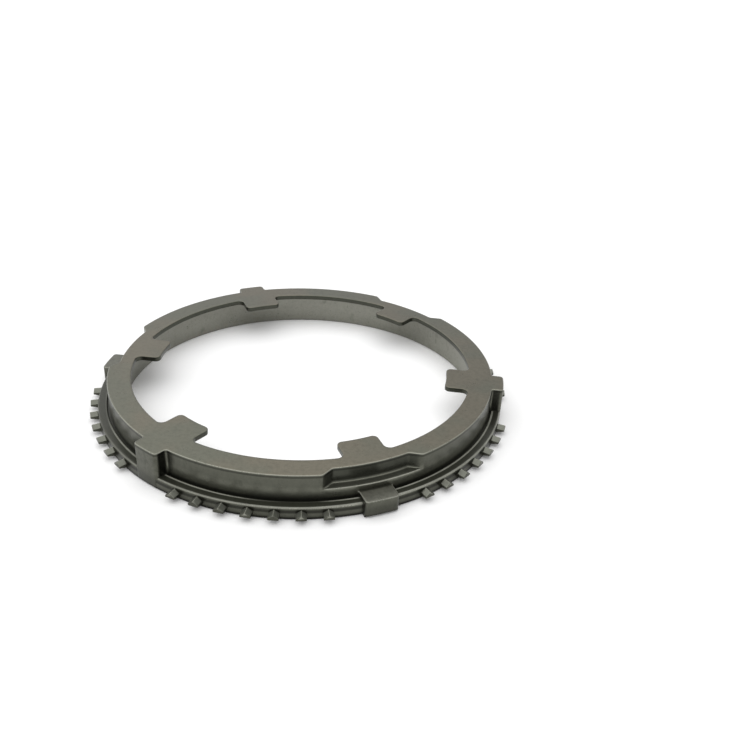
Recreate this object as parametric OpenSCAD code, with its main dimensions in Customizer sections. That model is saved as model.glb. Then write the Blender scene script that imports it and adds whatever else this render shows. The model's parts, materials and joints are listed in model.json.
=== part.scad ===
// Outer synchronizer ring of a multi-cone gearbox synchronizer.
// One forged and machined steel piece: a ring wall with a thin top lip, six inward
// tabs, three full-height index lugs, three low blocks under wall pockets, an inner
// friction cone and a flange with roof-pointed blocking teeth.
// The ring stands on its toothed end: origin at the centre of that end, Z up,
// one lug on the X axis. All sizes are in millimetres.

/* [Ring wall] */
// Outside diameter of the ring wall
wall_d = 120; // [117:0.5:123]
// Height from the toothed end to the flat top face
ring_h = 11.6; // [10.4:0.1:14]
// Diameter of the opening in the top lip
lip_d = 106; // [102:0.5:108]
// Thickness of the top lip and of its tabs
lip_t = 1.6; // [1:0.1:2.4]
// Rounding of the outer edge of the top face
edge_r = 0.35; // [0.2:0.05:0.6]

/* [Friction cone] */
// Diameter of the cone at its wide mouth, on the toothed end
cone_d = 111.8; // [110.6:0.2:113]
// Half angle of the cone
cone_angle = 6; // [4.5:0.5:7]
// Chamfer at the mouth of the cone
mouth_chamfer = 0.4; // [0.2:0.1:0.8]

/* [Inner tabs] */
// Diameter across the tips of the tabs
tab_d = 91.2; // [86:0.2:96]
// Width of one tab
tab_w = 12; // [8:0.5:16]
// Radius of the rounded tip corners
tab_corner_r = 1.6; // [0.6:0.1:2.4]
// Radius of the fillets where a tab leaves the lip
tab_root_r = 1.8; // [0.6:0.1:2.4]

/* [Index lugs] */
// Number of lugs, with as many blocks midway between them
lug_count = 3; // [2:1:4]
// Diameter across the outer faces of the lugs
lug_d = 127; // [125:0.2:128.6]
// Width of one lug
lug_w = 9; // [6:0.2:12]
// Radius of the upright outer edges of a lug
lug_corner_r = 1.2; // [0.4:0.1:1.6]
// Radius of the fillets between a lug and the wall
lug_root_r = 0.7; // [0.3:0.1:1.2]

/* [Low blocks] */
// Diameter across the outer faces of the blocks
block_d = 130.8; // [129:0.2:133]
// Width of one block
block_w = 9.6; // [6:0.2:12]
// Height of a block above the toothed end
block_h = 5.3; // [4.8:0.1:6]
// Radius of the upright outer edges of a block
block_corner_r = 1; // [0.3:0.1:1.2]
// Radius of the fillets between a block and the wall
block_root_r = 0.5; // [0.3:0.1:1]
// Chamfer under the outer face of a block
block_chamfer = 0.8; // [0.3:0.1:1.2]

/* [Wall pockets] */
// Radial depth of a pocket above a block
pocket_depth = 2.7; // [1.6:0.1:3]
// Depth of the pocket floor below the top face
pocket_drop = 4.6; // [3:0.1:5]
// Length of a pocket along its back wall
pocket_back_l = 21.8; // [16:0.2:26]
// Length of a pocket at its mouth, past the two ramps
pocket_mouth_l = 28.6; // [27.6:0.2:34]
// Fillet between the pocket floor and its back wall
pocket_fillet_r = 0.6; // [0.3:0.1:1]

/* [Toothed flange] */
// Diameter of the flange at the tooth roots
flange_d = 126.8; // [125.6:0.2:128]
// Thickness of the flange
flange_t = 3.9; // [3.4:0.1:4.6]
// Rounding of the upper outer edge of the flange
flange_edge_r = 0.6; // [0.3:0.1:0.9]
// Chamfer along the lower outer edge of the flange
flange_chamfer = 0.3; // [0.2:0.1:1]
// Width of the relief groove between the wall and the flange
groove_w = 0.7; // [0.4:0.1:1.2]
// Depth of the relief groove below the flange top
groove_depth = 0.6; // [0.3:0.1:1]

/* [Blocking teeth] */
// Diameter across the tooth tips
tip_d = 131.6; // [130.4:0.2:133]
// Width of one tooth
tooth_w = 2.9; // [2.2:0.1:3.8]
// Number of teeth between a lug and the next block
group_teeth = 7; // [4:1:8]
// Space across a lug, counted in tooth pitches
lug_gap = 3; // [3:1:5]
// Space across a block, counted in tooth pitches
block_gap = 4; // [4:1:6]
// Slope of the two roof faces of a tooth
roof_angle = 34; // [28:1:42]
// Depth of the tooth ridge below the flange top, at the tooth root
ridge_drop = 0.7; // [0.4:0.1:1]
// Fall of the tooth ridge towards the tip
ridge_fall = 4; // [0:1:9]
// Height of the underside of a tooth above the toothed end, at the tooth root
root_lift = 0.9; // [0.75:0.05:1.1]
// Height of the underside of a tooth above the toothed end, at the tip
tip_lift = 1.5; // [1.2:0.1:1.7]

/* [Hidden] */
$fn = 180;
steel = [0.46, 0.45, 0.41];
wall_r = wall_d / 2;
lip_r = lip_d / 2;
cone_r = cone_d / 2;
flange_r = flange_d / 2;
block_r = block_d / 2;
tip_r = tip_d / 2;
lip_z = ring_h - lip_t;
pocket_r = wall_r - pocket_depth;
pocket_z = ring_h - pocket_drop;
sector = 360 / lug_count;
pitch = sector / (2 * (group_teeth - 1) + lug_gap + block_gap);
// Rounded corners run this far over the faces they blend
blend = 0.01;
// Joined solids reach this far into each other
sink = 1;

// Waste outside a rounded corner between a bar side at offset y and the circle r.
// The bar points away from the centre for out = 1 and towards it for out = -1.
module corner_waste(r, y, corner, out) {
  reach = corner - blend;
  cy = y - reach;
  cx = sqrt(pow(r - out * reach, 2) - cy * cy);
  past = (r + out * sink) / norm([cx, cy]);
  difference() {
    polygon([[cx, cy], [cx, y + sink], [r + out * sink, y + sink], [cx, cy] * past]);
    translate([cx, cy]) circle(corner);
  }
}

// Web that fills the root corner between a bar side at offset y and the circle r
module root_web(r, y, fillet, out) {
  reach = fillet - blend;
  cy = y + reach;
  cx = sqrt(pow(r + out * reach, 2) - cy * cy);
  back = (r - out * sink) / norm([cx, cy]);
  difference() {
    polygon([[cx, y - sink], [cx, cy], [cx, cy] * back, [r - out * sink, y - sink]]);
    translate([cx, cy]) circle(fillet);
  }
}

// Plan of a straight-sided bar along X from the circle root_r to the circle end_r,
// or a little past it where its end is turned to shape afterwards
module radial_bar(root_r, end_r, w, corner, fillet, turned = false) {
  out = sign(end_r - root_r);
  low = min(root_r - sink, end_r - sink);
  high = max(root_r + sink, end_r + sink);
  difference() {
    translate([low, -w / 2]) square([high - low, w]);
    if (out > 0 && !turned) {
      difference() {
        circle(end_r + 3 * sink);
        circle(end_r);
      }
    }
    if (out < 0) circle(end_r);
    for (side = [0, 1]) mirror([0, side]) corner_waste(end_r, w / 2, corner, out);
  }
  for (side = [0, 1]) mirror([0, side]) root_web(root_r, w / 2, fillet, out);
}

// Waste outside a quarter round of radius r whose edge lies at [x, z]
module edge_waste(x, z, r) {
  translate([x - r, z - r]) {
    difference() {
      square(r + sink);
      circle(r);
    }
  }
}

// Waste under a chamfer of width c along a lower edge at radius x
module foot_waste(x, c) {
  polygon([[x - c - sink, -sink], [x + sink, c + sink], [x + sink, -sink]]);
}

// Half section of the turned body
module ring_section() {
  cone_top_r = cone_r - lip_z * tan(cone_angle);
  difference() {
    union() {
      translate([lip_r, 0]) square([wall_r - lip_r, ring_h]);
      translate([lip_r, 0]) square([flange_r - lip_r, flange_t]);
    }
    polygon([
      [lip_r - sink, lip_z],
      [cone_top_r, lip_z],
      [cone_r - mouth_chamfer * tan(cone_angle), mouth_chamfer],
      [cone_r + mouth_chamfer, 0],
      [cone_r + mouth_chamfer, -sink],
      [lip_r - sink, -sink]
    ]);
    translate([wall_r, flange_t - groove_depth]) square([groove_w, groove_depth + sink]);
    translate([wall_r + groove_w, flange_t]) square([flange_r, sink]);
    edge_waste(wall_r, ring_h, edge_r);
    edge_waste(flange_r, flange_t, flange_edge_r);
  }
}

// One low block along X, with its top edge rounded and its foot chamfered
module block() {
  intersection() {
    rotate_extrude() {
      difference() {
        translate([wall_r - 2 * sink, 0]) square([block_r - wall_r + 2 * sink, block_h]);
        edge_waste(block_r, block_h, edge_r);
        foot_waste(block_r, block_chamfer);
      }
    }
    translate([0, 0, -sink]) linear_extrude(block_h + 2 * sink) {
      radial_bar(wall_r, block_r, block_w, block_corner_r, block_root_r, turned = true);
    }
  }
}

// Waste cut for one pocket, centred on X
module pocket() {
  back_y = pocket_back_l / 2;
  mouth_y = pocket_mouth_l / 2;
  back_x = sqrt(pow(pocket_r, 2) - pow(back_y, 2));
  mouth_x = sqrt(pow(wall_r, 2) - pow(mouth_y, 2));
  ramp = [mouth_x - back_x, mouth_y - back_y];
  inner = [back_x, back_y] - ramp / 2;
  outer = [mouth_x, mouth_y] + ramp;
  intersection() {
    rotate_extrude() {
      difference() {
        translate([pocket_r, pocket_z]) square([pocket_depth + 2 * sink, pocket_drop + sink]);
        translate([pocket_r, pocket_z]) {
          difference() {
            square(pocket_fillet_r);
            translate([pocket_fillet_r, pocket_fillet_r]) circle(pocket_fillet_r);
          }
        }
      }
    }
    linear_extrude(ring_h + 2 * sink) {
      polygon([inner, outer, [outer.x, -outer.y], [inner.x, -inner.y]]);
    }
  }
}

// One tooth prism along X with its roof ridge on top, longer than the tooth
module tooth() {
  roof_h = tooth_w / 2 * tan(roof_angle);
  length = tip_r - flange_r + 4 * sink;
  translate([flange_r, 0, flange_t - ridge_drop]) rotate([0, ridge_fall, 0]) {
    translate([-2 * sink, 0, 0]) rotate([90, 0, 90]) linear_extrude(length) {
      polygon([
        [0, 0],
        [tooth_w / 2, -roof_h],
        [tooth_w / 2, -2 * flange_t],
        [-tooth_w / 2, -2 * flange_t],
        [-tooth_w / 2, -roof_h]
      ]);
    }
  }
}

// Toothed rim: every tooth kept between the flange and the tip circle
module teeth() {
  inner_r = flange_r - sink;
  intersection() {
    rotate_extrude() {
      polygon([
        [inner_r, root_lift],
        [flange_r, root_lift],
        [tip_r, tip_lift],
        [tip_r, flange_t],
        [inner_r, flange_t]
      ]);
    }
    union() {
      for (lug = [0 : lug_count - 1], side = [-1, 1], k = [0 : group_teeth - 1]) {
        rotate(lug * sector + side * (lug_gap / 2 + k) * pitch) tooth();
      }
    }
  }
}

module synchronizer_ring() {
  color(steel) {
    difference() {
      union() {
        rotate_extrude() ring_section();
        for (lug = [0 : lug_count - 1]) rotate(lug * sector) linear_extrude(ring_h) {
          radial_bar(wall_r, lug_d / 2, lug_w, lug_corner_r, lug_root_r);
        }
      }
      for (lug = [0 : lug_count - 1]) rotate((lug + 0.5) * sector) pocket();
      rotate_extrude() foot_waste(flange_r, flange_chamfer);
    }
    for (lug = [0 : lug_count - 1]) rotate((lug + 0.5) * sector) block();
    translate([0, 0, lip_z]) linear_extrude(lip_t) {
      for (tab = [0 : 2 * lug_count - 1]) rotate(tab * sector / 2) {
        radial_bar(lip_r, tab_d / 2, tab_w, tab_corner_r, tab_root_r);
      }
    }
    teeth();
  }
}

synchronizer_ring();
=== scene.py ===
"""Looks of an outer synchronizer ring, built around its packed frame.

The ring is one steel piece. Four shells with small rounded edges are made in mesh code: the body
with its lip, tabs, lugs and pockets, the flange, the low blocks and the blocking teeth. They are
joined into one closed mesh, which gets a procedural oiled steel with painted shade and painted
highlights. A stage adds floor, light and camera.
"""

import json
import math
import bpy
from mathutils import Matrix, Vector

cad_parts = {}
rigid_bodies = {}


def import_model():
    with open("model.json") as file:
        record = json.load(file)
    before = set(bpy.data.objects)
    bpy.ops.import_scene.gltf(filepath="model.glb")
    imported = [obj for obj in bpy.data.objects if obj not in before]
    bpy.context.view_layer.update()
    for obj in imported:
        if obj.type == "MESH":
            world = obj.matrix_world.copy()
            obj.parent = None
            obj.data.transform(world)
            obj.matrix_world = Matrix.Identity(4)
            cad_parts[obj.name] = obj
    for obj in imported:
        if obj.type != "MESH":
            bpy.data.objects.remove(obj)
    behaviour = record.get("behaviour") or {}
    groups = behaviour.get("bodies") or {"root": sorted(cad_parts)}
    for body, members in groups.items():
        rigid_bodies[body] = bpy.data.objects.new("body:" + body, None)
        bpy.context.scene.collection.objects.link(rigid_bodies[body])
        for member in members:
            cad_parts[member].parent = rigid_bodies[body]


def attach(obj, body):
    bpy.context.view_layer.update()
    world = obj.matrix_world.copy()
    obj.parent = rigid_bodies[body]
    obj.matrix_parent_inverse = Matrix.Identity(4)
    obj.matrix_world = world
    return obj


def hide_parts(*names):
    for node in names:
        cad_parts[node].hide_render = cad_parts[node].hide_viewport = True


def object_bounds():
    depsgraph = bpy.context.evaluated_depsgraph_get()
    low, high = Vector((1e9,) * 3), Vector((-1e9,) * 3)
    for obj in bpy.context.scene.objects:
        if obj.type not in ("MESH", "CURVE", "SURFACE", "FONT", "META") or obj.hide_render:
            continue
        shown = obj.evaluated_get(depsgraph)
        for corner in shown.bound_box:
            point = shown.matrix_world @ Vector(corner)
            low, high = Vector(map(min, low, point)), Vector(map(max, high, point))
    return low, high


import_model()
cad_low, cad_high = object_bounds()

from types import SimpleNamespace

import bmesh
import bpy
import numpy as np
from bpy.props import FloatProperty, FloatVectorProperty, IntProperty, PointerProperty
from mathutils import Matrix, Vector
from mathutils.geometry import delaunay_2d_cdt
from mathutils.kdtree import KDTree

bl_info = {
    "name": "Synchronizer ring",
    "version": (1, 0, 0),
    "blender": (4, 5, 0),
    "location": "View3D > Sidebar > Ring",
    "description": "Builds an outer synchronizer ring with its steel finish and a plain stage",
    "category": "Add Mesh",
}

MM = 0.001
TAU = 2 * math.pi
NODE = "synchronizer_ring"
BODY = "root"
# Point attribute of edge wear, which also makes the painted highlights along the edges.
WEAR = "edge_wear_and_highlight"
RING_HEIGHT = cad_high.z - cad_low.z


# Sizes and colours


def length(name, description, size):
    """A length property, given in millimetres."""
    return FloatProperty(name=name, description=description, default=size * MM, min=0, unit="LENGTH")


def angle(name, description, degrees):
    """An angle property, given in degrees."""
    return FloatProperty(
        name=name, description=description, default=math.radians(degrees), subtype="ANGLE"
    )


def triple(name, description, numbers, **kind):
    """A property of three numbers, such as a place or a direction."""
    return FloatVectorProperty(name=name, description=description, default=numbers, size=3, **kind)


def colour(name, description, rgb):
    """A linear colour property."""
    return triple(name, description, rgb, min=0, max=1, subtype="COLOR")


def factor(name, description, value):
    """A number from 0 to 1."""
    return FloatProperty(
        name=name, description=description, default=value, min=0, max=1, subtype="FACTOR"
    )


def strength(name, description, value):
    """A strength of light."""
    return FloatProperty(name=name, description=description, default=value, min=0)


def count(name, description, number):
    """A number of things, one or more."""
    return IntProperty(name=name, description=description, default=number, min=1)


class BodySizes(bpy.types.PropertyGroup):
    """Ring wall, lip, tabs, lugs and pockets"""

    height: length("Height", "From the toothed end to the top face", RING_HEIGHT / MM)
    wall_d: length("Wall diameter", "Outside diameter of the ring wall", 120)
    lip_d: length("Lip opening", "Diameter of the opening in the top lip", 106)
    lip_t: length("Lip thickness", "Thickness of the lip and its tabs", 1.6)
    cone_d: length("Cone mouth", "Diameter of the friction cone at the toothed end", 111.8)
    cone_angle: angle("Cone angle", "Half angle of the friction cone", 6)
    mouth_chamfer: length("Mouth chamfer", "Chamfer at the mouth of the cone", 0.4)
    tab_d: length("Tab diameter", "Diameter across the tab tips", 91.2)
    tab_w: length("Tab width", "Width of one tab", 12)
    tab_corner_r: length("Tab corner", "Radius of the tab's tip corners", 1.6)
    tab_root_r: length("Tab root", "Radius where a tab leaves the lip", 1.8)
    lug_d: length("Lug diameter", "Diameter across the outer faces of the lugs", 127)
    lug_w: length("Lug width", "Width of one lug", 9)
    lug_corner_r: length("Lug corner", "Radius of a lug's upright outer edges", 1.2)
    lug_root_r: length("Lug root", "Radius between a lug and the wall", 0.7)
    pocket_depth: length("Pocket depth", "Radial depth of a wall pocket", 2.7)
    pocket_drop: length("Pocket drop", "Depth of the pocket floor below the top face", 4.6)
    pocket_back_l: length("Pocket back", "Length of a pocket along its back wall", 21.8)
    pocket_mouth_l: length("Pocket mouth", "Length of a pocket past its two ramps", 28.6)
    pocket_fillet_r: length("Pocket fillet", "Radius between pocket floor and back wall", 0.6)
    ramp_r: length("Ramp corner", "Radius of the upright corners of a pocket ramp", 1.4)
    edge_r: length("Edge radius", "Rounding of the outer top edges", 0.35)
    lip_edge_r: length("Lip edge radius", "Rounding of the lip and tab edges", 0.22)
    shelf_edge_r: length("Shelf edge radius", "Rounding of the outer edge of a pocket floor", 0.28)


class RimSizes(bpy.types.PropertyGroup):
    """Flange, low blocks and blocking teeth"""

    flange_d: length("Flange diameter", "Diameter of the flange at the tooth roots", 126.8)
    flange_t: length("Flange thickness", "Thickness of the flange", 3.9)
    flange_edge_r: length("Flange edge", "Rounding of the flange's upper outer edge", 0.6)
    flange_chamfer: length("Flange chamfer", "Chamfer along the flange's lower edge", 0.3)
    chamfer_r: length("Chamfer rounding", "Rounding of the two edges of that chamfer", 0.12)
    groove_w: length("Groove width", "Width of the relief groove beside the wall", 0.7)
    groove_depth: length("Groove depth", "Depth of the relief groove", 0.6)
    groove_edge_r: length("Groove edge", "Rounding of the groove's outer edge", 0.15)
    groove_floor_r: length("Groove floor", "Rounding of the groove's outer floor corner", 0.2)
    block_d: length("Block diameter", "Diameter across the outer faces of the blocks", 130.8)
    block_w: length("Block width", "Width of one block", 9.6)
    block_h: length("Block height", "Height of a block above the toothed end", 5.3)
    block_corner_r: length("Block corner", "Radius of a block's upright outer edges", 1.0)
    block_root_r: length("Block root", "Radius between a block and the wall", 0.5)
    block_chamfer: length("Block chamfer", "Chamfer under the outer face of a block", 0.8)
    tip_d: length("Tip diameter", "Diameter across the tooth tips", 131.6)
    tooth_w: length("Tooth width", "Width of one tooth", 2.9)
    roof_angle: angle("Roof angle", "Slope of a tooth's two roof faces", 34)
    ridge_drop: length("Ridge drop", "Depth of a tooth ridge below the flange top", 0.7)
    ridge_fall: angle("Ridge fall", "Fall of a tooth ridge towards its tip", 4)
    ridge_r: length("Ridge radius", "Rounding of a tooth's ridge", 0.16)
    root_lift: length("Root lift", "Height of a tooth's underside at its root", 0.9)
    tip_lift: length("Tip lift", "Height of a tooth's underside at its tip", 1.5)
    side_h: length("Side height", "Least height of a tooth's sides", 0.12)
    tooth_edge_r: length("Tooth edge", "Rounding of the lower and tip edges of a tooth", 0.12)
    lugs: count("Lugs", "Number of lugs, with as many blocks and twice as many tabs", 3)
    group_teeth: count("Teeth in a group", "Teeth between a lug and a block", 7)
    lug_gap: count("Lug gap", "Space across a lug in pitches", 3)
    block_gap: count("Block gap", "Space across a block in pitches", 4)


class SteelFinish(bpy.types.PropertyGroup):
    """Oiled steel, with painted shade and painted highlights"""

    ground: colour("Ground steel", "Level top face", (0.091, 0.092, 0.072))
    film: colour("Oil film", "Warm film of oil on the top face", (0.103, 0.095, 0.073))
    coated: colour("Coated steel", "Upright faces with their dark coat", (0.103, 0.105, 0.085))
    # Painted shade: the level faces of the flange are darker for the shade of the wall beside them.
    shaded: colour("Low steel", "Level faces of the flange", (0.034, 0.035, 0.026))
    block: colour("Block steel", "Rubbed top of a low block", (0.097, 0.097, 0.079))
    cone: colour("Cone steel", "Turned face of the friction cone", (0.273, 0.272, 0.235))
    roof: colour("Tooth roof", "Rubbed roof faces of the teeth", (0.137, 0.141, 0.119))
    # Bare worn edges, partly real wear and partly painted highlights along the edges.
    worn: colour("Worn edge", "Bare metal along worn edges", (0.392, 0.395, 0.340))
    # Painted shade and oil: laid where shade falls in the pockets, on the lip and at the wall's foot,
    # and in spots and runs of oil.
    stain_and_shade: colour("Oil stain", "Dark oil held in corners and stains", (0.022, 0.024, 0.019))
    metallic: factor("Metallic", "How much the steel mirrors", 0.9)
    gloss: factor("Gloss", "Clear gloss where the steel mirrors less", 0.15)
    roughness: factor("Roughness", "Roughness of the plain steel", 0.31)
    wear: factor("Edge wear", "How bare the edges are", 0.636)
    patches: factor("Wear patches", "How much the bare edges come and go", 0.72)
    relief: factor("Relief", "Strength of the fine relief", 0.35)
    relief_depth: length("Relief depth", "Depth of the fine relief", 0.03)


class StageSettings(bpy.types.PropertyGroup):
    """Floor, light and camera"""

    floor_colour: colour("Floor", "Colour of the floor", (0.9, 0.9, 0.9))
    floor_rough: factor("Floor roughness", "Roughness of the floor", 0.9)
    floor_glow: strength("Floor glow", "Light of its own that the floor shows the eye", 0.08)
    floor_reach: length("Floor reach", "From the middle of the floor to its sides", 6000)
    floor_gap: length("Floor gap", "Gap between the floor and the ring", 0.02)
    sky: strength("Sky", "Strength of the soft light from above", 0.42)
    horizon: strength("Horizon", "Strength of the light from low down", 0.1)
    key: strength("Key", "Strength of the soft main lamp", 2.6)
    key_size: angle("Key size", "How wide the main lamp is in the sky", 110)
    key_from: triple(
        "Key direction",
        "Where the main lamp's light comes from",
        (-0.26, 0.02, 0.965),
        subtype="DIRECTION",
    )
    camera_place: triple(
        "Camera place",
        "Where the camera stands",
        (45.47 * MM, -224.64 * MM, 136.58 * MM),
        subtype="TRANSLATION",
        unit="LENGTH",
    )
    camera_turn: angle("Camera turn", "Turn of the camera about the upright axis", 5.696)
    camera_fall: angle("Camera fall", "How far the camera looks down", 29.294)
    camera_roll: angle("Camera roll", "Roll of the camera about its line of sight", 3.02)
    lens: FloatProperty(
        name="Lens", description="Focal length for a 36 mm sensor", default=39.16, unit="CAMERA"
    )


# Outlines

# Degrees between the points of a plain arc, of a lug's or block's end and of a tab's tip.
ARC_STEP = 0.5
END_STEP = 0.4
TIP_STEP = 0.8
# Points round a full circle, and steps of a rounded edge, of a corner in plan and of a tab's corner.
CIRCLE_POINTS = 720
EDGE_STEPS = 4
PLAN_STEPS = 8
TAB_STEPS = 7
# How many radii before its corner a round stretch stops, at a lug or tab and at a shallow ramp.
CORNER_ROOM = 1.3
RAMP_ROOM = 0.7
# Where a pocket's ramp has points, as shares of its length.
RAMP_POINTS = (0.35, 0.5, 0.65)


def arc(radius, start, end, step=ARC_STEP):
    """Plain path points on a circle, from start to end degrees, both included."""
    pieces = max(1, round(abs(end - start) / step))
    turns = np.radians(np.linspace(start, end, pieces + 1))
    return [(radius * math.cos(a), radius * math.sin(a), 0.0) for a in turns]


def rounded(path, steps):
    """Points of a path of (x, y, radius, ...), with an arc at each corner that has a radius."""
    points = []
    for k, (x, y, radius, *_) in enumerate(path):
        here = np.array((x, y))
        if radius == 0:
            points.append(here)
            continue
        back = np.array(path[k - 1][:2]) - here
        ahead = np.array(path[(k + 1) % len(path)][:2]) - here
        back /= np.linalg.norm(back)
        ahead /= np.linalg.norm(ahead)
        half = math.acos(max(-1, min(1, back @ ahead))) / 2
        middle = here + (back + ahead) / np.linalg.norm(back + ahead) * radius / math.sin(half)
        reach = radius / math.tan(half)
        start, end = here + back * reach - middle, here + ahead * reach - middle
        turn = math.pi - 2 * half
        for share in np.linspace(0, 1, steps + 1):
            mix = math.sin((1 - share) * turn) * start + math.sin(share * turn) * end
            points.append(middle + mix / math.sin(turn))
    return np.array(points)


def corner_wear(path, steps):
    """Wear of each point that rounded() makes of a path of (x, y, radius, wear).
    A rounded corner is worn most at its middle, unless its wear is a pair (start, end)."""
    wear = []
    for _, _, radius, worn in path:
        shares = np.linspace(0, 1, steps + 1) if radius else (0.0,)
        if isinstance(worn, tuple):
            wear += [worn[0] + (worn[1] - worn[0]) * share for share in shares]
        else:
            wear += [worn * math.sin(math.pi * share) for share in shares]
    return wear


def turned(loop, turn):
    """The loop turned about the origin, by an angle in radians."""
    c, s = math.cos(turn), math.sin(turn)
    return loop @ np.array([[c, s], [-s, c]])


def mirrored(half):
    """A half outline that starts on the X axis, with its mirror image before it."""
    return np.concatenate([half[:0:-1] * (1, -1), half])


def repeated(half, sectors):
    """A closed loop of mirrored sectors, from half of one sector."""
    sector = mirrored(half)[:-1]
    return np.concatenate([turned(sector, TAU * k / sectors) for k in range(sectors)])


def inset(loop, distance):
    """The closed loop moved to its left by a distance, with mitred corners."""
    ahead = np.roll(loop, -1, axis=0) - loop
    ahead /= np.linalg.norm(ahead, axis=1)[:, None]
    left = np.stack([-ahead[:, 1], ahead[:, 0]], axis=1)
    before = np.roll(left, 1, axis=0)
    mitre = (left + before) / (1 + np.sum(left * before, axis=1))[:, None]
    return loop + mitre * distance


def within(loop, radius):
    """The loop with every point brought inside a radius."""
    reach = np.linalg.norm(loop, axis=1)[:, None]
    return loop * np.minimum(1, radius / reach)


def encloses(loop, point):
    """Whether a point lies inside a closed loop."""
    x, y = (loop - point).T
    after_x, after_y = np.roll(x, -1), np.roll(y, -1)
    crossing = (y > 0) != (after_y > 0)
    run = np.where(crossing, after_y - y, 1)
    return bool(np.sum(crossing & (x - y * (after_x - x) / run > 0)) % 2)


def circle(radius):
    """A closed ring of points, which starts on the X axis."""
    turns = TAU * np.arange(CIRCLE_POINTS) / CIRCLE_POINTS
    return radius * np.stack([np.cos(turns), np.sin(turns)], axis=1)


def quarter(steps=EDGE_STEPS):
    """Steps of (1 - cos, sin, wear) along a quarter turn, for a rounded edge worn at its middle."""
    turns = np.linspace(0, math.pi / 2, steps + 1)
    return [(1 - math.cos(a), math.sin(a), math.sin(2 * a)) for a in turns]


def lobe(end, base, side, corner_r, root_r, step):
    """Half of a lug, tab or block: a path from its end face along one side to the circle it stands on.
    Gives the path, and the degrees on that circle where its root has ended."""
    path = arc(end, 0, math.degrees(math.asin((side - CORNER_ROOM * corner_r) / end)), step)
    path.append((math.sqrt(end**2 - side**2), side, corner_r))
    path.append(((end + base) / 2, side, 0.0))
    path.append((math.sqrt(base**2 - side**2), side, root_r))
    return path, math.degrees(math.asin((side + CORNER_ROOM * root_r) / base))


def body_outline(body, lugs):
    """Outer outline at the top: wall, lugs and pockets."""
    wall, lug = body.wall_d / 2, body.lug_d / 2
    back = wall - body.pocket_depth
    middle = 180 / lugs
    mouth_turn = middle - math.degrees(math.asin(body.pocket_mouth_l / 2 / wall))
    back_turn = middle - math.degrees(math.asin(body.pocket_back_l / 2 / back))
    ramp_turn = math.degrees(RAMP_ROOM * body.ramp_r / wall)
    mouth = arc(wall, mouth_turn, mouth_turn)[0]
    heel = arc(back, back_turn, back_turn)[0]
    path, turn = lobe(lug, wall, body.lug_w / 2, body.lug_corner_r, body.lug_root_r, END_STEP)
    path += arc(wall, turn, mouth_turn - ramp_turn)
    path.append((mouth[0], mouth[1], body.ramp_r))
    for share in RAMP_POINTS:
        path.append(tuple(m + (h - m) * share for m, h in zip(mouth, heel)))
    path.append((heel[0], heel[1], body.ramp_r))
    path += arc(back, back_turn + ramp_turn, middle)
    return repeated(rounded(path, PLAN_STEPS), lugs)


def lip_outline(body, tabs):
    """Inner outline of the lip with its tabs."""
    lip, tip = body.lip_d / 2, body.tab_d / 2
    path, turn = lobe(tip, lip, body.tab_w / 2, body.tab_corner_r, body.tab_root_r, TIP_STEP)
    path += arc(lip, turn, 180 / tabs)
    return repeated(rounded(path, TAB_STEPS), tabs)


# Meshes

# Points nearer than this are merged, and a joined point nearer than this to an old one is that one.
MERGE_GAP = 0.002 * MM
FOUND_GAP = 0.01 * MM
# How an outline is filled: only inside it, with points this near taken as one, in millimetres.
FILL_INSIDE = 1
FILL_GAP = 1e-7
# Width of the strip of faces beside a rounded edge, and how far a shell keeps inside its neighbour.
STRIP = 0.4 * MM
SKIN = 0.05 * MM
# How far the flange reaches into the wall, how much a block widens there and how far it reaches in.
FLANGE_SINK = 1.5 * MM
BLOCK_FLARE = 1.2 * MM
BLOCK_SINK = 2.9 * MM
# Heights of the plain rows of points on the wall's foot, on the wall and on a block.
FOOT_ROWS = (0, 0.4 * MM, 0.9 * MM)
WALL_ROWS = (3.0 * MM, 3.8 * MM, 5.0 * MM, 6.2 * MM)
BLOCK_ROW = 3.0 * MM
# Drops of the upper rows below the top face.
UPPER_ROWS = (3.4 * MM, 2.0 * MM)
# Rows of the friction cone and steps of the edges of lip, shelf and tooth tip.
CONE_ROWS = 9
FINE_STEPS = 3
# Largest shares of a pocket's depth that its edge and its fillet take, rows of the floor between them
# as shares of its width, and the least depth in metres that is divided by.
SHELF_EDGE_SHARE = 0.4
SHELF_FILLET_SHARE = 0.5
SHELF_ROWS = (0.35, 0.7)
LEAST_DEPTH = 1e-9
# Steps of the corners of the flange's and of a tooth's section.
FLANGE_STEPS = 5
TOOTH_STEPS = 4
# Rows of a tooth past the flange and before its tip, the part of a side that its edge may
# take, and where a roof face has a row, as a share of its half width.
TOOTH_ROOT_ROWS = (-1.8 * MM, -0.4 * MM, 0, 0.5 * MM, 1.1 * MM)
TOOTH_TIP_ROWS = (0.5 * MM, 0.3 * MM, 0.2 * MM)
TOOTH_EDGE_SHARE = 0.3
ROOF_ROW = 0.45
# Wear of the rounded edges from 0 to 1, which also makes their painted highlights: at the top, of the
# lip above and below, of a pocket floor, of a block, of the flange above and below, of the groove
# from top to foot, and of a tooth.
TOP_WEAR = 0.55
LIP_WEAR = 0.3
LIP_UNDER_WEAR = 0.2
SHELF_WEAR = 0.8
BLOCK_WEAR = 0.6
RIM_WEAR = 0.6
RIM_UNDER_WEAR = 0.1
GROOVE_WEAR = (1, 0.5)
RIDGE_WEAR = 1
EAVE_WEAR = 0.35
# Width of the bare strip beside the groove, a painted highlight, and the width over which it ends.
GROOVE_HIGHLIGHT_STRIP = 0.3 * MM
GROOVE_FADE = 0.25 * MM
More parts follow.
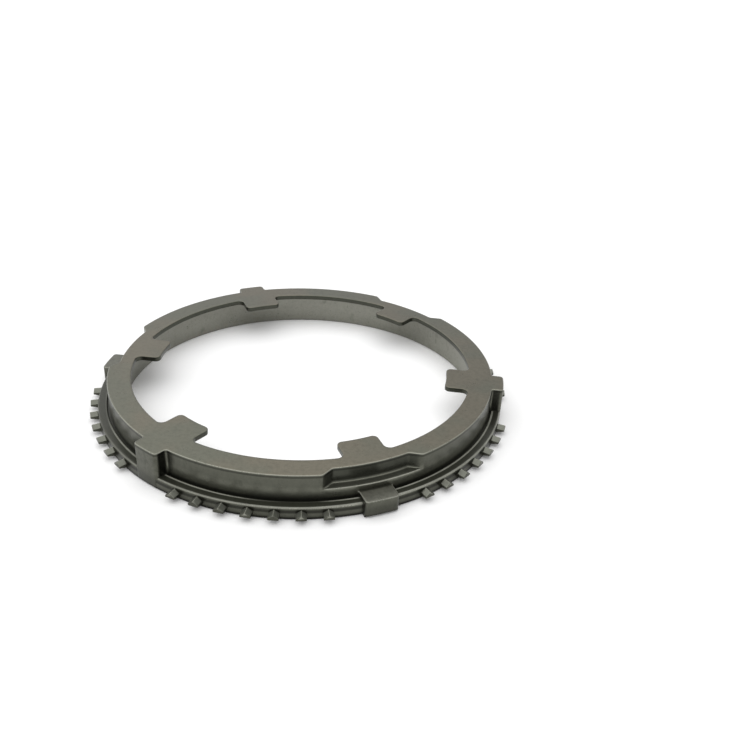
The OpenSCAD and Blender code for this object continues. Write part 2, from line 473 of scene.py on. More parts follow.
# Painted highlights on the flange's two edges, as pairs of degrees round the ring and wear.
GROOVE_HIGHLIGHT = (
    (0, 0.8), (60, 0.5), (110, 0.9), (180, 0.25), (210, 0.25), (230, 0.95), (262, 0.9), (271, 0.35),
    (278, 0.2), (285, 0.25), (291, 0.9), (360, 0.8),
)
RIM_HIGHLIGHT = (
    (0, 1.0), (60, 1.4), (120, 1.0), (180, 0.5), (215, 0.5), (240, 0.85), (260, 0.9), (280, 1.3),
    (296, 1.8), (306, 1.8), (316, 1.3), (360, 1.0),
)
# Edges between faces that turn more than this stay sharp, and how strongly large faces stay flat.
SHARP_TURN = math.radians(38)
FLAT_WEIGHT = 100


class Shell:
    """A closed surface, collected as rows of points and the faces between them."""

    def __init__(self):
        self.points = []
        self.wear = []
        self.faces = []

    def row(self, loop, height, wear=0.0):
        """Adds a loop at a height and with its wear, each one number or one for each point."""
        first = len(self.points)
        heights = np.broadcast_to(height, len(loop))
        self.points += [(x, y, z) for (x, y), z in zip(loop, heights)]
        self.wear += list(np.broadcast_to(wear, len(loop)))
        return list(range(first, len(self.points)))

    def band(self, first, second):
        """Quads between two rows; the second lies above, inside or below as the surface runs."""
        for a, b, c, d in zip(first, first[1:] + first[:1], second[1:] + second[:1], second):
            self.faces.append((a, b, c, d))

    def rows(self, levels):
        """Adds rows with the bands between them; returns the first and the last row."""
        made = [self.row(*level) for level in levels]
        for first, second in zip(made, made[1:]):
            self.band(first, second)
        return made[0], made[-1]

    def fill(self, rim, hole=(), up=True):
        """Closes a level rim with triangles, less a hole."""
        ids = list(rim) + list(hole)
        flat = [Vector(self.points[i][:2]) / MM for i in ids]
        edges = []
        start = 0
        for ring in (rim, hole):
            size = len(ring)
            edges += [(start + k, start + (k + 1) % size) for k in range(size)]
            start += size
        _, _, faces, sources, _, _ = delaunay_2d_cdt(flat, edges, [], FILL_INSIDE, FILL_GAP)
        gap = np.array([self.points[i][:2] for i in hole])
        for face in faces:
            corners = [ids[sources[v][0]] for v in face]
            middle = np.mean([self.points[i][:2] for i in corners], axis=0)
            if len(gap) and encloses(gap, middle):
                continue
            self.faces.append(corners if up else corners[::-1])

    def loft(self, sections, turn):
        """Adds sections of (x, loop of y and z, wear) along a spoke that points to an angle."""
        made = []
        c, s = math.cos(turn), math.sin(turn)
        for x, loop, wear in sections:
            across, heights = loop.T
            spoke = np.stack([x * c - across * s, x * s + across * c], axis=1)
            made.append(self.row(spoke, heights, wear))
        for first, second in zip(made, made[1:]):
            self.band(first, second)
        self.faces.append(made[0][::-1])
        self.faces.append(made[-1])

    def build(self, name):
        """Makes the object, with points that lie together merged."""
        mesh = bpy.data.meshes.new(name)
        mesh.from_pydata(self.points, [], self.faces)
        mesh.attributes.new(WEAR, "FLOAT", "POINT").data.foreach_set("value", self.wear)
        work = bmesh.new()
        work.from_mesh(mesh)
        bmesh.ops.remove_doubles(work, verts=work.verts, dist=MERGE_GAP)
        open_edges = sum(1 for e in work.edges if not e.is_manifold)
        work.to_mesh(mesh)
        work.free()
        if open_edges:
            raise RuntimeError(f"{name} is not closed: {open_edges} open edges")
        bpy.context.scene.collection.objects.link(bpy.data.objects.new(name, mesh))


def top_edge(loop, top, edge, worn):
    """Levels over a rounded upper edge, from the upright face below it to the level face inside it."""
    levels = [(loop, top - edge - STRIP)]
    for i, up, share in quarter():
        levels.append((inset(loop, edge * i), top - edge + edge * up, worn * share))
    levels.append((inset(loop, edge + STRIP), top))
    return levels


def shelf_levels(body, wall_loop, outline):
    """Levels across a pocket floor, from its rounded outer edge to its back wall.
    Away from the pockets they all fall on one line of the wall."""
    floor = body.height - body.pocket_drop
    depth = (np.linalg.norm(wall_loop, axis=1) - np.linalg.norm(outline, axis=1)).clip(0)
    share = np.where(depth > 0, 1 / np.maximum(depth, LEAST_DEPTH), 0)
    edge = np.minimum(body.shelf_edge_r, SHELF_EDGE_SHARE * depth)
    fillet = np.minimum(body.pocket_fillet_r, SHELF_FILLET_SHARE * depth)
    fade = SHELF_WEAR * edge / body.shelf_edge_r
    levels = [(edge * i, floor - edge + edge * up, fade * wear) for i, up, wear in quarter(FINE_STEPS)]
    levels += [(edge + (depth - edge - fillet) * row, floor, 0.0) for row in SHELF_ROWS]
    levels += [(depth - fillet + fillet * up, floor + fillet * i, 0.0) for i, up, _ in quarter()]
    return [
        (wall_loop + (outline - wall_loop) * (run * share)[:, None], height, wear)
        for run, height, wear in levels
    ]


def wall_levels(body, rim):
    """Levels of the outside, from the toothed end to the top face."""
    outline = body_outline(body, rim.lugs)
    radius = np.linalg.norm(outline, axis=1)[:, None]
    wall_loop = outline * np.maximum(1, body.wall_d / 2 / radius)
    foot = rim.flange_d / 2 - rim.flange_chamfer - SKIN
    levels = [(within(wall_loop, foot + height), height) for height in FOOT_ROWS]
    levels += [(wall_loop, height) for height in WALL_ROWS]
    levels += shelf_levels(body, wall_loop, outline)
    levels += [(outline, body.height - drop) for drop in UPPER_ROWS]
    return levels + top_edge(outline, body.height, body.edge_r, TOP_WEAR)


def lip_levels(body, rim):
    """Levels of the lip's edge, from the top face over the edge to its underside."""
    top, under, edge = body.height, body.height - body.lip_t, body.lip_edge_r
    lip = lip_outline(body, 2 * rim.lugs)
    beside = inset(lip, -edge - STRIP)
    levels = [(beside, top)]
    for i, up, worn in quarter(FINE_STEPS)[::-1]:
        levels.append((inset(lip, -edge * i), top - edge + edge * up, LIP_WEAR * worn))
    levels.append((lip, (top + under) / 2))
    for i, up, worn in quarter(FINE_STEPS):
        levels.append((inset(lip, -edge * i), under + edge - edge * up, LIP_UNDER_WEAR * worn))
    levels.append((beside, under))
    return levels


def cone_levels(body):
    """Levels of the friction cone, from the underside of the lip to the toothed end."""
    slope, mouth, cut = math.tan(body.cone_angle), body.cone_d / 2, body.mouth_chamfer
    heights = np.linspace(body.height - body.lip_t, cut, CONE_ROWS)
    levels = [(circle(mouth - height * slope), height) for height in heights]
    levels += [(circle(mouth + cut / 2), cut / 2), (circle(mouth + cut), 0.0)]
    levels.append((circle(mouth + cut + STRIP), 0.0))
    return levels


class RING_OT_body(bpy.types.Operator):
    """Make the ring body: wall, lip, tabs, lugs, pockets and friction cone"""

    bl_idname = "ring.body"
    bl_label = "Ring Body"

    def execute(self, context):
        body, rim = context.scene.ring_body, context.scene.ring_rim
        shell = Shell()
        bottom, top_rim = shell.rows(wall_levels(body, rim))
        top_hole, under_hole = shell.rows(lip_levels(body, rim))
        under_rim, bottom_hole = shell.rows(cone_levels(body))
        shell.fill(top_rim, top_hole)
        shell.fill(under_rim, under_hole, up=False)
        shell.fill(bottom, bottom_hole, up=False)
        shell.build("ring_body")
        return {"FINISHED"}


def flange_section(body, rim):
    """Section of the flange with its groove, as points of (radius, height, rounding, wear)."""
    out, thick, edge, cut = rim.flange_d / 2, rim.flange_t, rim.flange_edge_r, rim.flange_chamfer
    inner, groove = body.wall_d / 2 - FLANGE_SINK, body.wall_d / 2 + rim.groove_w
    floor = thick - rim.groove_depth
    # A bare strip beside the groove, painted as a highlight line.
    strip = groove + rim.groove_edge_r + GROOVE_HIGHLIGHT_STRIP
    return [
        (inner, 0.0, 0.0, 0),
        (out - cut - STRIP, 0.0, 0.0, 0),
        (out - cut, 0.0, rim.chamfer_r, RIM_UNDER_WEAR),
        (out, cut, rim.chamfer_r, RIM_UNDER_WEAR),
        (out, cut + STRIP, 0.0, 0),
        (out, thick - edge - STRIP, 0.0, 0),
        (out, thick, edge, RIM_WEAR),
        (out - edge - STRIP, thick, 0.0, 0),
        (strip + GROOVE_FADE, thick, 0.0, 0),
        (strip, thick, 0.0, GROOVE_WEAR),
        (groove, thick, rim.groove_edge_r, GROOVE_WEAR),
        (groove, floor, rim.groove_floor_r, 0),
        (inner, floor, 0.0, 0),
    ]


class RING_OT_flange(bpy.types.Operator):
    """Make the flange that carries the teeth, with its relief groove"""

    bl_idname = "ring.flange"
    bl_label = "Flange"

    def execute(self, context):
        body, rim = context.scene.ring_body, context.scene.ring_rim
        section = flange_section(body, rim)
        middle = (body.wall_d / 2 + rim.groove_w + rim.flange_d / 2) / 2
        degrees = np.arange(CIRCLE_POINTS) * 360 / CIRCLE_POINTS
        # Painted highlights on the flange's edges, stronger in some places round the ring.
        groove_highlight, rim_highlight = (np.interp(degrees, *zip(*pairs)) for pairs in (GROOVE_HIGHLIGHT, RIM_HIGHLIGHT))
        levels = [
            (circle(r), z, worn * (groove_highlight if r < middle else rim_highlight))
            for (r, z), worn in zip(rounded(section, FLANGE_STEPS), corner_wear(section, FLANGE_STEPS))
        ]
        shell = Shell()
        first, last = shell.rows(levels)
        shell.band(last, first)
        shell.build("ring_flange")
        return {"FINISHED"}


def block_outline(body, rim):
    """Outline of a block that points along the X axis, with its sides and back inside the wall."""
    wall, side, root = body.wall_d / 2, rim.block_w / 2, rim.block_root_r
    flare = side + root + BLOCK_FLARE
    path, _ = lobe(rim.block_d / 2, wall, side, rim.block_corner_r, root, END_STEP)
    path.append((math.sqrt(wall**2 - flare**2) - SKIN, flare, 0.0))
    path.append((wall - BLOCK_SINK, flare, 0.0))
    return mirrored(rounded(path, PLAN_STEPS))


class RING_OT_blocks(bpy.types.Operator):
    """Make the low blocks under the pockets"""

    bl_idname = "ring.blocks"
    bl_label = "Low Blocks"

    def execute(self, context):
        body, rim = context.scene.ring_body, context.scene.ring_rim
        out, cut = rim.block_d / 2, rim.block_chamfer
        outline = block_outline(body, rim)
        shell = Shell()
        for k in range(rim.lugs):
            loop = turned(outline, TAU * (k + 0.5) / rim.lugs)
            levels = [(within(loop, out - cut + height), height) for height in (0, cut / 2, cut)]
            levels += [(loop, cut + STRIP), (loop, BLOCK_ROW)]
            levels += top_edge(loop, rim.block_h, body.edge_r, BLOCK_WEAR)
            bottom, top = shell.rows(levels)
            shell.fill(top)
            shell.fill(bottom, up=False)
        shell.build("ring_blocks")
        return {"FINISHED"}


def tooth_section(rim, x, shrink=0.0):
    """A tooth's outline across a spoke at radius x: two roof faces over two sides."""
    flange, tip = rim.flange_d / 2, rim.tip_d / 2
    slope = math.tan(rim.roof_angle)
    past = x - flange
    ridge = rim.flange_t - rim.ridge_drop - past * math.tan(rim.ridge_fall)
    rise = (rim.tip_lift - rim.root_lift) / (tip - flange)
    under = rim.root_lift + max(0, past) * rise
    half = min(rim.tooth_w / 2, (ridge - under - rim.side_h) / slope)
    eave = ridge - half * slope
    edge = min(rim.tooth_edge_r, TOOTH_EDGE_SHARE * (eave - under))
    roof_y = half * ROOF_ROW
    roof_z = ridge - roof_y * slope
    path = [
        (half, under, edge, 0),
        (half, eave, edge, EAVE_WEAR),
        (roof_y, roof_z, 0.0, 0),
        (0.0, ridge, rim.ridge_r, RIDGE_WEAR),
        (-roof_y, roof_z, 0.0, 0),
        (-half, eave, edge, EAVE_WEAR),
        (-half, under, edge, 0),
    ]
    return x, inset(rounded(path, TOOTH_STEPS), shrink), corner_wear(path, TOOTH_STEPS)


class RING_OT_teeth(bpy.types.Operator):
    """Make the groups of roofed blocking teeth"""

    bl_idname = "ring.teeth"
    bl_label = "Blocking Teeth"

    def execute(self, context):
        rim = context.scene.ring_rim
        sector = TAU / rim.lugs
        pitch = sector / (2 * (rim.group_teeth - 1) + rim.lug_gap + rim.block_gap)
        flange, tip, edge = rim.flange_d / 2, rim.tip_d / 2, rim.tooth_edge_r
        sections = [tooth_section(rim, flange + past) for past in TOOTH_ROOT_ROWS]
        sections += [tooth_section(rim, tip - before) for before in TOOTH_TIP_ROWS]
        for i, up, _ in quarter(FINE_STEPS):
            sections.append(tooth_section(rim, tip - edge + edge * up, edge * i))
        shell = Shell()
        for lug in range(rim.lugs):
            for side in (-1, 1):
                for k in range(rim.group_teeth):
                    shell.loft(sections, lug * sector + side * (rim.lug_gap / 2 + k) * pitch)
        shell.build("ring_teeth")
        return {"FINISHED"}


def applied(piece):
    """Turns a piece's modifiers into plain mesh."""
    bpy.context.view_layer.update()
    seen = piece.evaluated_get(bpy.context.evaluated_depsgraph_get())
    mesh = bpy.data.meshes.new_from_object(seen)
    old = piece.data
    piece.modifiers.clear()
    piece.data = mesh
    bpy.data.meshes.remove(old)


def edge_marks(pieces):
    """The points of some pieces, to be found again by place, and how worn each one is."""
    worn = [mark.value for piece in pieces for mark in piece.data.attributes[WEAR].data]
    places = KDTree(len(worn))
    for k, vert in enumerate(vert for piece in pieces for vert in piece.data.vertices):
        places.insert(vert.co, k)
    places.balance()
    return places, worn


def carry_wear(mesh, places, worn):
    """Gives the mesh the wear of the points it was made from; new points have none."""
    wear = []
    for vert in mesh.vertices:
        _, k, gap = places.find(vert.co)
        wear.append(worn[k] if gap < FOUND_GAP else 0.0)
    if WEAR in mesh.attributes:
        mesh.attributes.remove(mesh.attributes[WEAR])
    mesh.attributes.new(WEAR, "FLOAT", "POINT").data.foreach_set("value", wear)


class RING_OT_join(bpy.types.Operator):
    """Join the shells into one closed ring and give it its steel"""

    bl_idname = "ring.join"
    bl_label = "Join and Finish"

    def execute(self, context):
        ring = bpy.data.objects["ring_body"]
        shells = [bpy.data.objects[n] for n in ("ring_flange", "ring_blocks", "ring_teeth")]
        places, worn = edge_marks([ring, *shells])
        for shell in shells:
            union = ring.modifiers.new(shell.name, "BOOLEAN")
            union.operation = "UNION"
            union.solver = "MANIFOLD"
            union.object = shell
            applied(ring)
            mesh = shell.data
            bpy.data.objects.remove(shell)
            bpy.data.meshes.remove(mesh)
        ring.name = ring.data.name = "steel_ring"
        carry_wear(ring.data, places, worn)
        ring.data.shade_smooth()
        ring.data.set_sharp_from_angle(angle=SHARP_TURN)
        normals = ring.modifiers.new("flat_faces", "WEIGHTED_NORMAL")
        normals.keep_sharp = True
        normals.weight = FLAT_WEIGHT
        ring.data.materials.clear()
        ring.data.materials.append(oiled_steel(context.scene))
        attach(ring, BODY)
        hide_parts(NODE)
        return {"FINISHED"}


# Steel

# Sockets of a Mix node's two colours, and its output that holds a colour.
MIX_FIRST = 6
MIX_SECOND = 7
MIX_COLOUR = 2
# Variations of the steel as noise: size in millimetres, detail and roughness.
NOISES = {
    "grain": (0.35, 3, 0.6),
    "mottle": (1.3, 3, 0.6),
    "blotch": (5, 4, 0.6),
    "cloud": (22, 2, 0.5),
    "streak": (2.2, 3, 0.55),
    "turning": (0.22, 2, 0.7),
}
# Width of an upright streak as a share of its height.
STREAK_RISE = 0.22
# Tone of plain steel as a share of its colour, and how much the variations change it everywhere.
PLAIN_TONE = 0.97
TONING = {"grain": 0.3, "mottle": 0.35, "blotch": 0.16, "cloud": 0.14, "turning": 0.06}
# How much more the mottle changes it in some places, and how much streaks change it on upright faces.
MOTTLING = {"block": 0.6, "top": 0.25}
STREAKING = 0.16
# Painted light and shade: how much lighter, or below 0 darker, some places are than plain steel.
# Painted shade lies on the sides of lugs and blocks, on the lowest edge by the floor, on the lower
# outer faces, on the flange's lower chamfer and a strip under its rounded edge, and on a strip
# under the top edge. A band on the flange's outer face gets painted light, and a band low on the
# wall is lighter.
PAINTED_SHADING = {
    "flank": -0.6,
    "base": -0.6,
    "skirt": -0.3,
    "rim_hem": -0.6,
    "rim_band": 0.35,
    "rim_strip": -0.5,
    "brim": -0.45,
    "low_wall": 0.4,
}
# How much less some places mirror than plain steel.
DULLING = {"low": 0.15, "flange_top": 0.4, "tooth_roof": 0.15, "block_top": 0.35, "cone": 0.35}
# Bare edges mirror less, so that they show as painted highlights.
BARE_DULLING = 0.55
# How much each variation adds to the relief and to the roughness, and how much bare edges take off.
RELIEF = {"grain": 0.6, "mottle": 0.6, "blotch": 0.5, "turning": 0.35}
ROUGHENING = {"grain": 0.12, "blotch": 0.14}
BARE_POLISH = 0.06
# Shares of painted shade on the upright faces of the pockets and the lip, of oil in spots, and of
# oil with painted shade at the foot of the wall, where blotches change it.
RECESS_SHADE = 0.5
SPOT_OIL = 0.3
CORNER_OIL_AND_SHADE = 0.33
CORNER_BLOTCH = 0.3
# Which variations make the runs of oil, and their share on upright and on level faces.
RUNS = {"blotch": 0.6, "streak": 0.4}
RUN_OIL = {"upright": 0.4, "level": 0.1}
# Between which two values of a variation, or of the wear, oil or bare steel comes in.
FILM_RANGE = (-0.08, 0.1)
SPOT_RANGE = (0.1, 0.24)
RUN_RANGE = (0.04, 0.22)
BARE_RANGE = (0.1, 0.8)
# Between which two heights of its normal a face comes to count as level, and no longer as cone.
LEVEL_RANGE = (0.5, 0.8)
CONE_RANGE = (0.1, 0.4)


class Signal:
    """A shader socket that takes part in Python expressions."""

    def __init__(self, tree, socket=None):
        self.tree = tree
        self.socket = socket

    def node(self, kind, inputs=None, output=0, **settings):
        """Adds a node: its settings first, then its sockets' values or links; gives one output."""
        made = self.tree.nodes.new(kind)
        for name, value in settings.items():
            setattr(made, name, value)
        for name, value in (inputs or {}).items():
            if isinstance(value, Signal):
                self.tree.links.new(value.socket, made.inputs[name])
            else:
                made.inputs[name].default_value = value
        return Signal(self.tree, made.outputs[output] if len(made.outputs) else None)

    def math(self, operation, first, second):
        """The Math node of an operator."""
        return self.node("ShaderNodeMath", {0: first, 1: second}, operation=operation)

    def __add__(self, other):
        return self.math("ADD", self, other)

    def __radd__(self, other):
        return self.math("ADD", other, self)

    def __sub__(self, other):
        return self.math("SUBTRACT", self, other)

    def __rsub__(self, other):
        return self.math("SUBTRACT", other, self)

    def __mul__(self, other):
        return self.math("MULTIPLY", self, other)

    def __rmul__(self, other):
        return self.math("MULTIPLY", other, self)

    def step(self, low, high):
        """0 below low and 1 above high, with a smooth rise between."""
        ends = {"Value": self, "From Min": low, "From Max": high}
        return self.node("ShaderNodeMapRange", ends, interpolation_type="SMOOTHSTEP")

    def past(self, edge, start, end):
        """0 to 1 across a soft edge, which runs from start to end millimetres past a place."""
        return self.step(edge + start * MM, edge + end * MM)

    def between(self, edge, rise, fall):
        """1 between two soft edges and 0 outside them, each given in millimetres past one place."""
        return self.past(edge, *rise) * (1 - self.past(edge, *fall))

    def vector(self, operation, second, socket=1):
        """Vector Math on a vector or colour, with one other value."""
        return self.node("ShaderNodeVectorMath", {0: self, socket: second}, operation=operation)

    def noise(self, size, detail, roughness):
        """Noise about size across over a vector, from -0.5 to 0.5."""
        settings = {"Vector": self, "Scale": 1 / size, "Detail": detail, "Roughness": roughness}
        return self.node("ShaderNodeTexNoise", settings) - 0.5

    def mix(self, first, second):
        """A colour between two colours, with this share of the second."""
        pair = [c if isinstance(c, Signal) else (*c, 1) for c in (first, second)]
        return self.node(
            "ShaderNodeMix",
            {0: self, MIX_FIRST: pair[0], MIX_SECOND: pair[1]},
            MIX_COLOUR,
            data_type="RGBA",
            clamp_factor=True,
        )

    def looked_at(self):
        """1 where the eye sees a surface straight, in metal or through glass, and 0 for its light."""
        rays = ("Is Camera Ray", "Is Glossy Ray", "Is Transmission Ray")
        return sum(self.node("ShaderNodeLightPath", output=ray) for ray in rays)


def blend(shares, signals):
    """The sum of some named signals, each times its share."""
    return sum(share * getattr(signals, name) for name, share in shares.items())


def new_material(name):
    """An empty material, and a pen that adds nodes to it."""
    material = bpy.data.materials.new(name)
    material.use_nodes = True
    material.node_tree.nodes.clear()
    return material, Signal(material.node_tree)


def ring_zones(radius, z, facing, body, rim):
    """Which places of the ring a point belongs to, as signals from 0 to 1 with soft edges."""
    top, deck = body.height, rim.flange_t
    wall, lug, root, cone = (d / 2 for d in (body.wall_d, body.lug_d, rim.flange_d, body.cone_d))
    on = SimpleNamespace()
    on.level = facing.step(*LEVEL_RANGE)
    on.upright = 1 - on.level
    on.high = z.past(top, -1.4, -0.6)
    on.top = on.level * on.high
    on.low = on.level * (1 - on.high)
    inside = 1 - radius.past(cone, 0.2, 0.6)
    outside = radius.past(wall, 0.2, 0.8)
    side = outside * on.upright
    on.cone = inside * (1 - facing.step(*CONE_RANGE)) * (1 - z.past(top, -1.9, -1.5))
    on.turned = on.level + on.cone
    # Upright faces inside the wall, in the pockets and on the lip, which get painted shade.
    on.recess = on.upright * (1 - radius.past(wall, -1.4, -0.2))
    # Foot of the wall, where oil with painted shade is laid.
    on.corner = (1 - z.past(deck, -0.6, 2.2)) * radius.between(wall, (-0.8, -0.2), (0.4, 0.8))

    on.flange = radius.past(wall, -0.3, 0)
    on.block = radius.past(wall, 0.3, 0.9) * z.past(deck, 0.5, 0.9) * (1 - on.high)
    on.tooth = radius.past(root, 0.1, 0.3) * (1 - on.block)
    on.flange_top = on.low * on.flange * (1 - on.tooth) * (1 - on.block)
    on.tooth_roof = on.low * on.tooth
    on.block_top = on.low * on.block

    # Places whose tone is changed: painted shade, painted light, and a lighter band low on the wall.
    on.flank = side * (1 - radius.past(lug, -1.2, -0.4)) * z.past(deck, 0, 0.6)
    on.base = outside * (1 - z.past(0, 0.2, 1.5))
    on.skirt = side * (1 - z.past(0, 2.4, 5))
    on.brim = (1 - inside) * on.upright * z.between(top, (-1.1, -0.8), (-0.5, -0.3))
    wall_face = radius.past(wall, -0.6, -0.2) * (1 - outside) * on.upright
    on.low_wall = wall_face * z.between(deck, (0.3, 1.7), (2.7, 4.5))
    rim_face = radius.between(root, (-0.7, -0.5), (0.02, 0.08)) * on.upright
    on.rim_hem = rim_face * (1 - z.past(0, 0.4, 1.0))
    on.rim_band = rim_face * z.between(0, (0.9, 1.3), (1.9, 2.2))
    on.rim_strip = rim_face * z.between(0, (2.0, 2.4), (2.9, 3.2))
    return on


def steel_variations(pen, place, radius, z, on):
    """How the steel varies from point to point, each signal from -0.5 to 0.5."""
    where = {
        "streak": place.vector("MULTIPLY", (1, 1, STREAK_RISE)),
        "turning": pen.node("ShaderNodeCombineXYZ", {0: radius, 1: z}),
    }
    vary = SimpleNamespace()
    for name, (size, detail, roughness) in NOISES.items():
        setattr(vary, name, where.get(name, place).noise(size * MM, detail, roughness))
    vary.turning = vary.turning * on.turned
    return vary


def steel_colour(finish, on, vary):
    """Colour of each place on the ring, before its tone, oil and wear, with painted shade on the level
    faces of the flange and on the upright faces of the pockets and the lip.
    """
    # Painted shade on the level faces of the flange.
    low = on.flange.mix(finish.coated, finish.shaded)
    low = on.block.mix(on.tooth.mix(low, finish.roof), finish.block)
    ground = vary.cloud.step(*FILM_RANGE).mix(finish.ground, finish.film)
    shade = on.level.mix(finish.coated, on.high.mix(low, ground))
    # Painted shade on the upright faces of the pockets and the lip.
    shade = (RECESS_SHADE * on.recess).mix(shade, finish.stain_and_shade)
    return on.cone.mix(shade, finish.cone)


def steel_tone(on, vary):
    """How light the steel is, as a share of its colour, with painted shade and light in some places.
    """
    tone = PLAIN_TONE + blend(TONING, vary)
    tone = tone + blend(MOTTLING, on) * vary.mottle + STREAKING * vary.streak * on.upright
    for place, change in PAINTED_SHADING.items():
        tone = tone * (1 + change * getattr(on, place))
    return tone


def oil_and_shade_share(on, vary):
    """How much dark colour lies at the foot of the wall, as oil with painted shade, and in spots and
    runs of oil.
    """
    # Oil with painted shade in the corner at the foot of the wall, varied by blotches.
    corner = on.corner * (CORNER_OIL_AND_SHADE + CORNER_BLOTCH * vary.blotch)
    spots = SPOT_OIL * vary.mottle.step(*SPOT_RANGE)
    return corner + spots + blend(RUN_OIL, on) * blend(RUNS, vary).step(*RUN_RANGE)


def oiled_steel(scene):
    """Dark oiled steel: ground top face, coated walls, a turned cone, oil and bare edges. Painted
    shade lies in corners, recesses and low down, and painted light on some bands and along the edges.
    """
    finish = scene.ring_steel
    material, pen = new_material("oiled_steel")
    place = pen.node("ShaderNodeTexCoord", output="Object")
    flat = place.vector("MULTIPLY", (1, 1, 0))
    radius = pen.node("ShaderNodeVectorMath", {0: flat}, "Value", operation="LENGTH")
    normal = pen.node("ShaderNodeNewGeometry", output="Normal")
    z, facing = (pen.node("ShaderNodeSeparateXYZ", {0: vector}, "Z") for vector in (place, normal))
    on = ring_zones(radius, z, facing, scene.ring_body, scene.ring_rim)
    vary = steel_variations(pen, place, radius, z, on)
    wear = pen.node("ShaderNodeAttribute", output="Fac", attribute_name=WEAR)
    # Bare worn edges, partly wear and partly painted highlights.
    bare = wear.step(*BARE_RANGE) * (finish.wear + finish.patches * vary.blotch)

    shade = steel_colour(finish, on, vary).vector("SCALE", steel_tone(on, vary), "Scale")
    # Oil over the colour, with painted shade at the foot of the wall.
    shade = oil_and_shade_share(on, vary).mix(shade, finish.stain_and_shade)
    shade = bare.mix(shade, finish.worn)
    relief = {
        "Strength": finish.relief,
        "Distance": finish.relief_depth,
        "Height": blend(RELIEF, vary),
    }
    bump = pen.node("ShaderNodeBump", relief)
    steel = pen.node(
        "ShaderNodeBsdfPrincipled",
        {
            "Base Color": shade,
            "Metallic": finish.metallic - BARE_DULLING * bare - blend(DULLING, on),
            "Roughness": finish.roughness - BARE_POLISH * bare + blend(ROUGHENING, vary),
            "Specular IOR Level": finish.gloss,
            "Normal": bump,
        },
    )
    pen.node("ShaderNodeOutputMaterial", {"Surface": steel})
    return material


# Stage

# Width of the camera's sensor in millimetres, and the nearest that it sees.
SENSOR = 36
NEAREST = 1 * MM
WHITE = (1, 1, 1, 1)
# Between which two heights of the sky, as the height of a direction, the horizon turns into sky.
SKY_RANGE = (0.08, 0.46)


def floor_paint(stage):
    """A pale floor. Seen by eye it is white, and it keeps the ring's soft shadow."""
    material, pen = new_material("pale_floor")
    paint = {
        "Base Color": (*stage.floor_colour, 1),
        "Roughness": stage.floor_rough,
        "Specular IOR Level": 0.0,
    }
    glow = {"Emission Color": WHITE, "Emission Strength": stage.floor_glow}
    plain = pen.node("ShaderNodeBsdfPrincipled", paint)
    white = pen.node("ShaderNodeBsdfPrincipled", {**paint, **glow})
    shown = pen.node("ShaderNodeMixShader", {0: pen.looked_at(), 1: plain, 2: white})
    pen.node("ShaderNodeOutputMaterial", {"Surface": shown})
    return material


def soft_sky(stage):
    """A world with soft light from above that is dim near the horizon; seen by eye it is white."""
    world = bpy.data.worlds.new("soft_sky")
    world.use_nodes = True
    world.node_tree.nodes.clear()
    pen = Signal(world.node_tree)
    direction = pen.node("ShaderNodeTexCoord", output="Generated")
    rise = pen.node("ShaderNodeSeparateXYZ", {0: direction}, "Z")
    white, low, high = (
        pen.node("ShaderNodeBackground", {"Color": WHITE, "Strength": power})
        for power in (1.0, stage.horizon, stage.sky)
    )
    light = pen.node("ShaderNodeMixShader", {0: rise.step(*SKY_RANGE), 1: low, 2: high})
    shown = pen.node("ShaderNodeMixShader", {0: pen.looked_at(), 1: light, 2: white})
    pen.node("ShaderNodeOutputWorld", {"Surface": shown})
    return world


def floor_mesh(stage):
    """One large face just below the ring."""
    mesh = bpy.data.meshes.new("floor")
    reach, z = stage.floor_reach, cad_low.z - stage.floor_gap
    corners = [(-reach, -reach, z), (reach, -reach, z), (reach, reach, z), (-reach, reach, z)]
    mesh.from_pydata(corners, [], [(0, 1, 2, 3)])
    mesh.materials.append(floor_paint(stage))
    return mesh


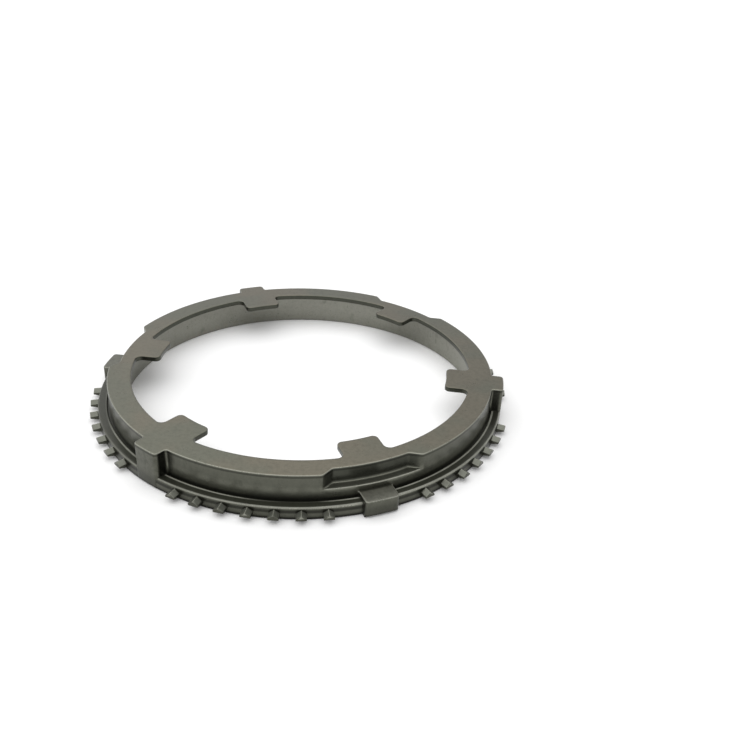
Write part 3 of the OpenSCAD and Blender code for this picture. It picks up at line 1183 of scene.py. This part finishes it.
class RING_OT_stage(bpy.types.Operator):
    """Set the floor, the soft light and the camera"""

    bl_idname = "ring.stage"
    bl_label = "Stage"

    def execute(self, context):
        scene = context.scene
        stage = scene.ring_stage
        floor = bpy.data.objects.new("floor", floor_mesh(stage))
        scene.collection.objects.link(floor)
        scene.world = soft_sky(stage)

        lamp = bpy.data.lights.new("key", "SUN")
        lamp.energy = stage.key
        lamp.angle = stage.key_size
        key = bpy.data.objects.new("key", lamp)
        key.rotation_euler = Vector(stage.key_from).to_track_quat("Z", "Y").to_euler()
        scene.collection.objects.link(key)

        view = bpy.data.cameras.new("camera")
        view.sensor_width = SENSOR
        view.sensor_fit = "HORIZONTAL"
        view.lens = stage.lens
        view.clip_start = NEAREST
        camera = bpy.data.objects.new("camera", view)
        camera.matrix_world = (
            Matrix.Translation(stage.camera_place)
            @ Matrix.Rotation(stage.camera_turn, 4, "Z")
            @ Matrix.Rotation(math.pi / 2 - stage.camera_fall, 4, "X")
            @ Matrix.Rotation(stage.camera_roll, 4, "Z")
        )
        scene.collection.objects.link(camera)
        scene.camera = camera
        scene.view_settings.view_transform = "Standard"
        return {"FINISHED"}


# Add-on

OPERATORS = (
    RING_OT_body, RING_OT_flange, RING_OT_blocks, RING_OT_teeth, RING_OT_join, RING_OT_stage
)
SETTINGS = {
    "ring_body": BodySizes,
    "ring_rim": RimSizes,
    "ring_steel": SteelFinish,
    "ring_stage": StageSettings,
}


class RING_PT_panel(bpy.types.Panel):
    """Steps and sizes of the synchronizer ring"""

    bl_idname = "RING_PT_panel"
    bl_label = "Synchronizer Ring"
    bl_space_type = "VIEW_3D"
    bl_region_type = "UI"
    bl_category = "Ring"

    def draw(self, context):
        for operator in OPERATORS:
            self.layout.operator(operator.bl_idname)
        for name, group in SETTINGS.items():
            box = self.layout.box()
            box.label(text=group.__doc__)
            for setting in group.__annotations__:
                box.prop(getattr(context.scene, name), setting)


def register():
    for group in SETTINGS.values():
        bpy.utils.register_class(group)
    for name, group in SETTINGS.items():
        setattr(bpy.types.Scene, name, PointerProperty(type=group))
    for cls in (*OPERATORS, RING_PT_panel):
        bpy.utils.register_class(cls)


def unregister():
    for cls in (RING_PT_panel, *reversed(OPERATORS)):
        bpy.utils.unregister_class(cls)
    for name, group in SETTINGS.items():
        delattr(bpy.types.Scene, name)
        bpy.utils.unregister_class(group)


def main():
    register()
    bpy.ops.ring.body()
    bpy.ops.ring.flange()
    bpy.ops.ring.blocks()
    bpy.ops.ring.teeth()
    bpy.ops.ring.join()
    bpy.ops.ring.stage()


if __name__ == "__main__":
    main()
